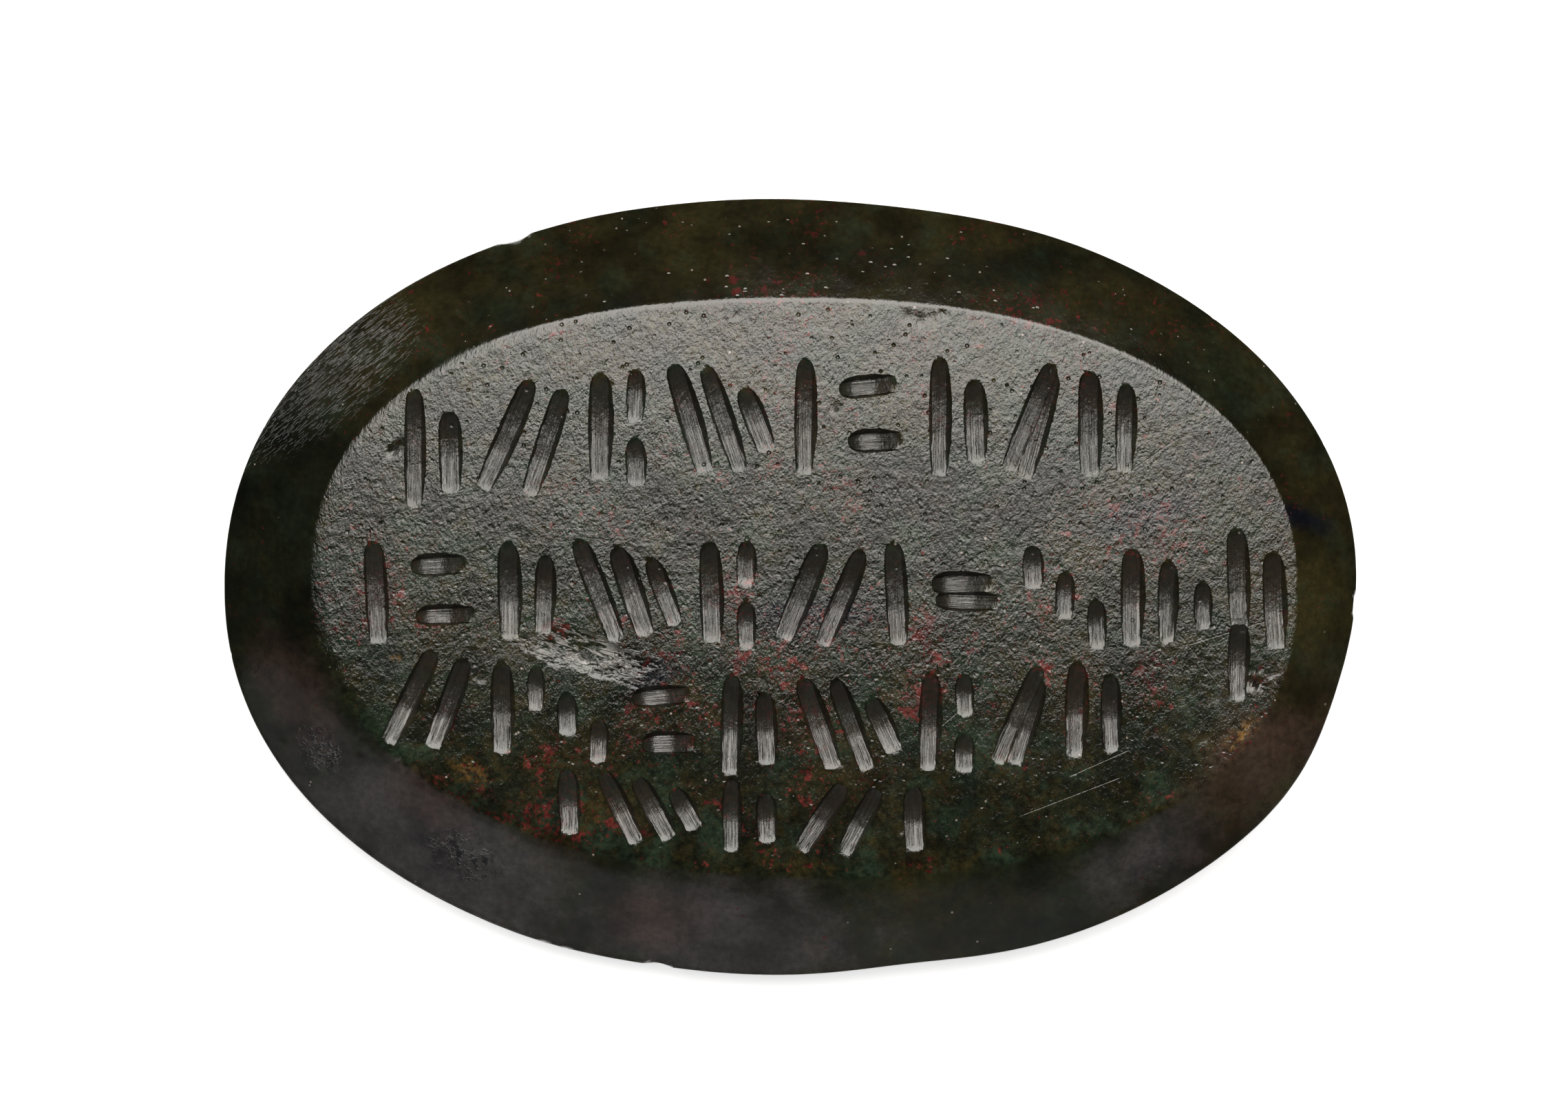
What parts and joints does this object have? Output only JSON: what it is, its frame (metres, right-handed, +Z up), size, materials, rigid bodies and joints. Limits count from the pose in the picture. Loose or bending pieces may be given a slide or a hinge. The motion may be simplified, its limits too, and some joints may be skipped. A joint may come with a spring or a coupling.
{
  "type": "engraved gem",
  "caption": "Oval flat-backed stone gem with a slightly domed face inside a wide sloping border, cut with rows of shallow wheel strokes.",
  "frame": {"origin": "on the flat back, under the middle of the outline's box", "axes": "+Z up out of the cut face, +X along the gem's length, +Y towards the head of the rows"},
  "size_m": [0.024, 0.0164, 0.0026],
  "materials": {
    "green_jasper": "worn satin polish, very dark green with red specks"
  },
  "bodies": {
    "root": {"engraved_gem": "green_jasper"}
  },
  "joints": []
}
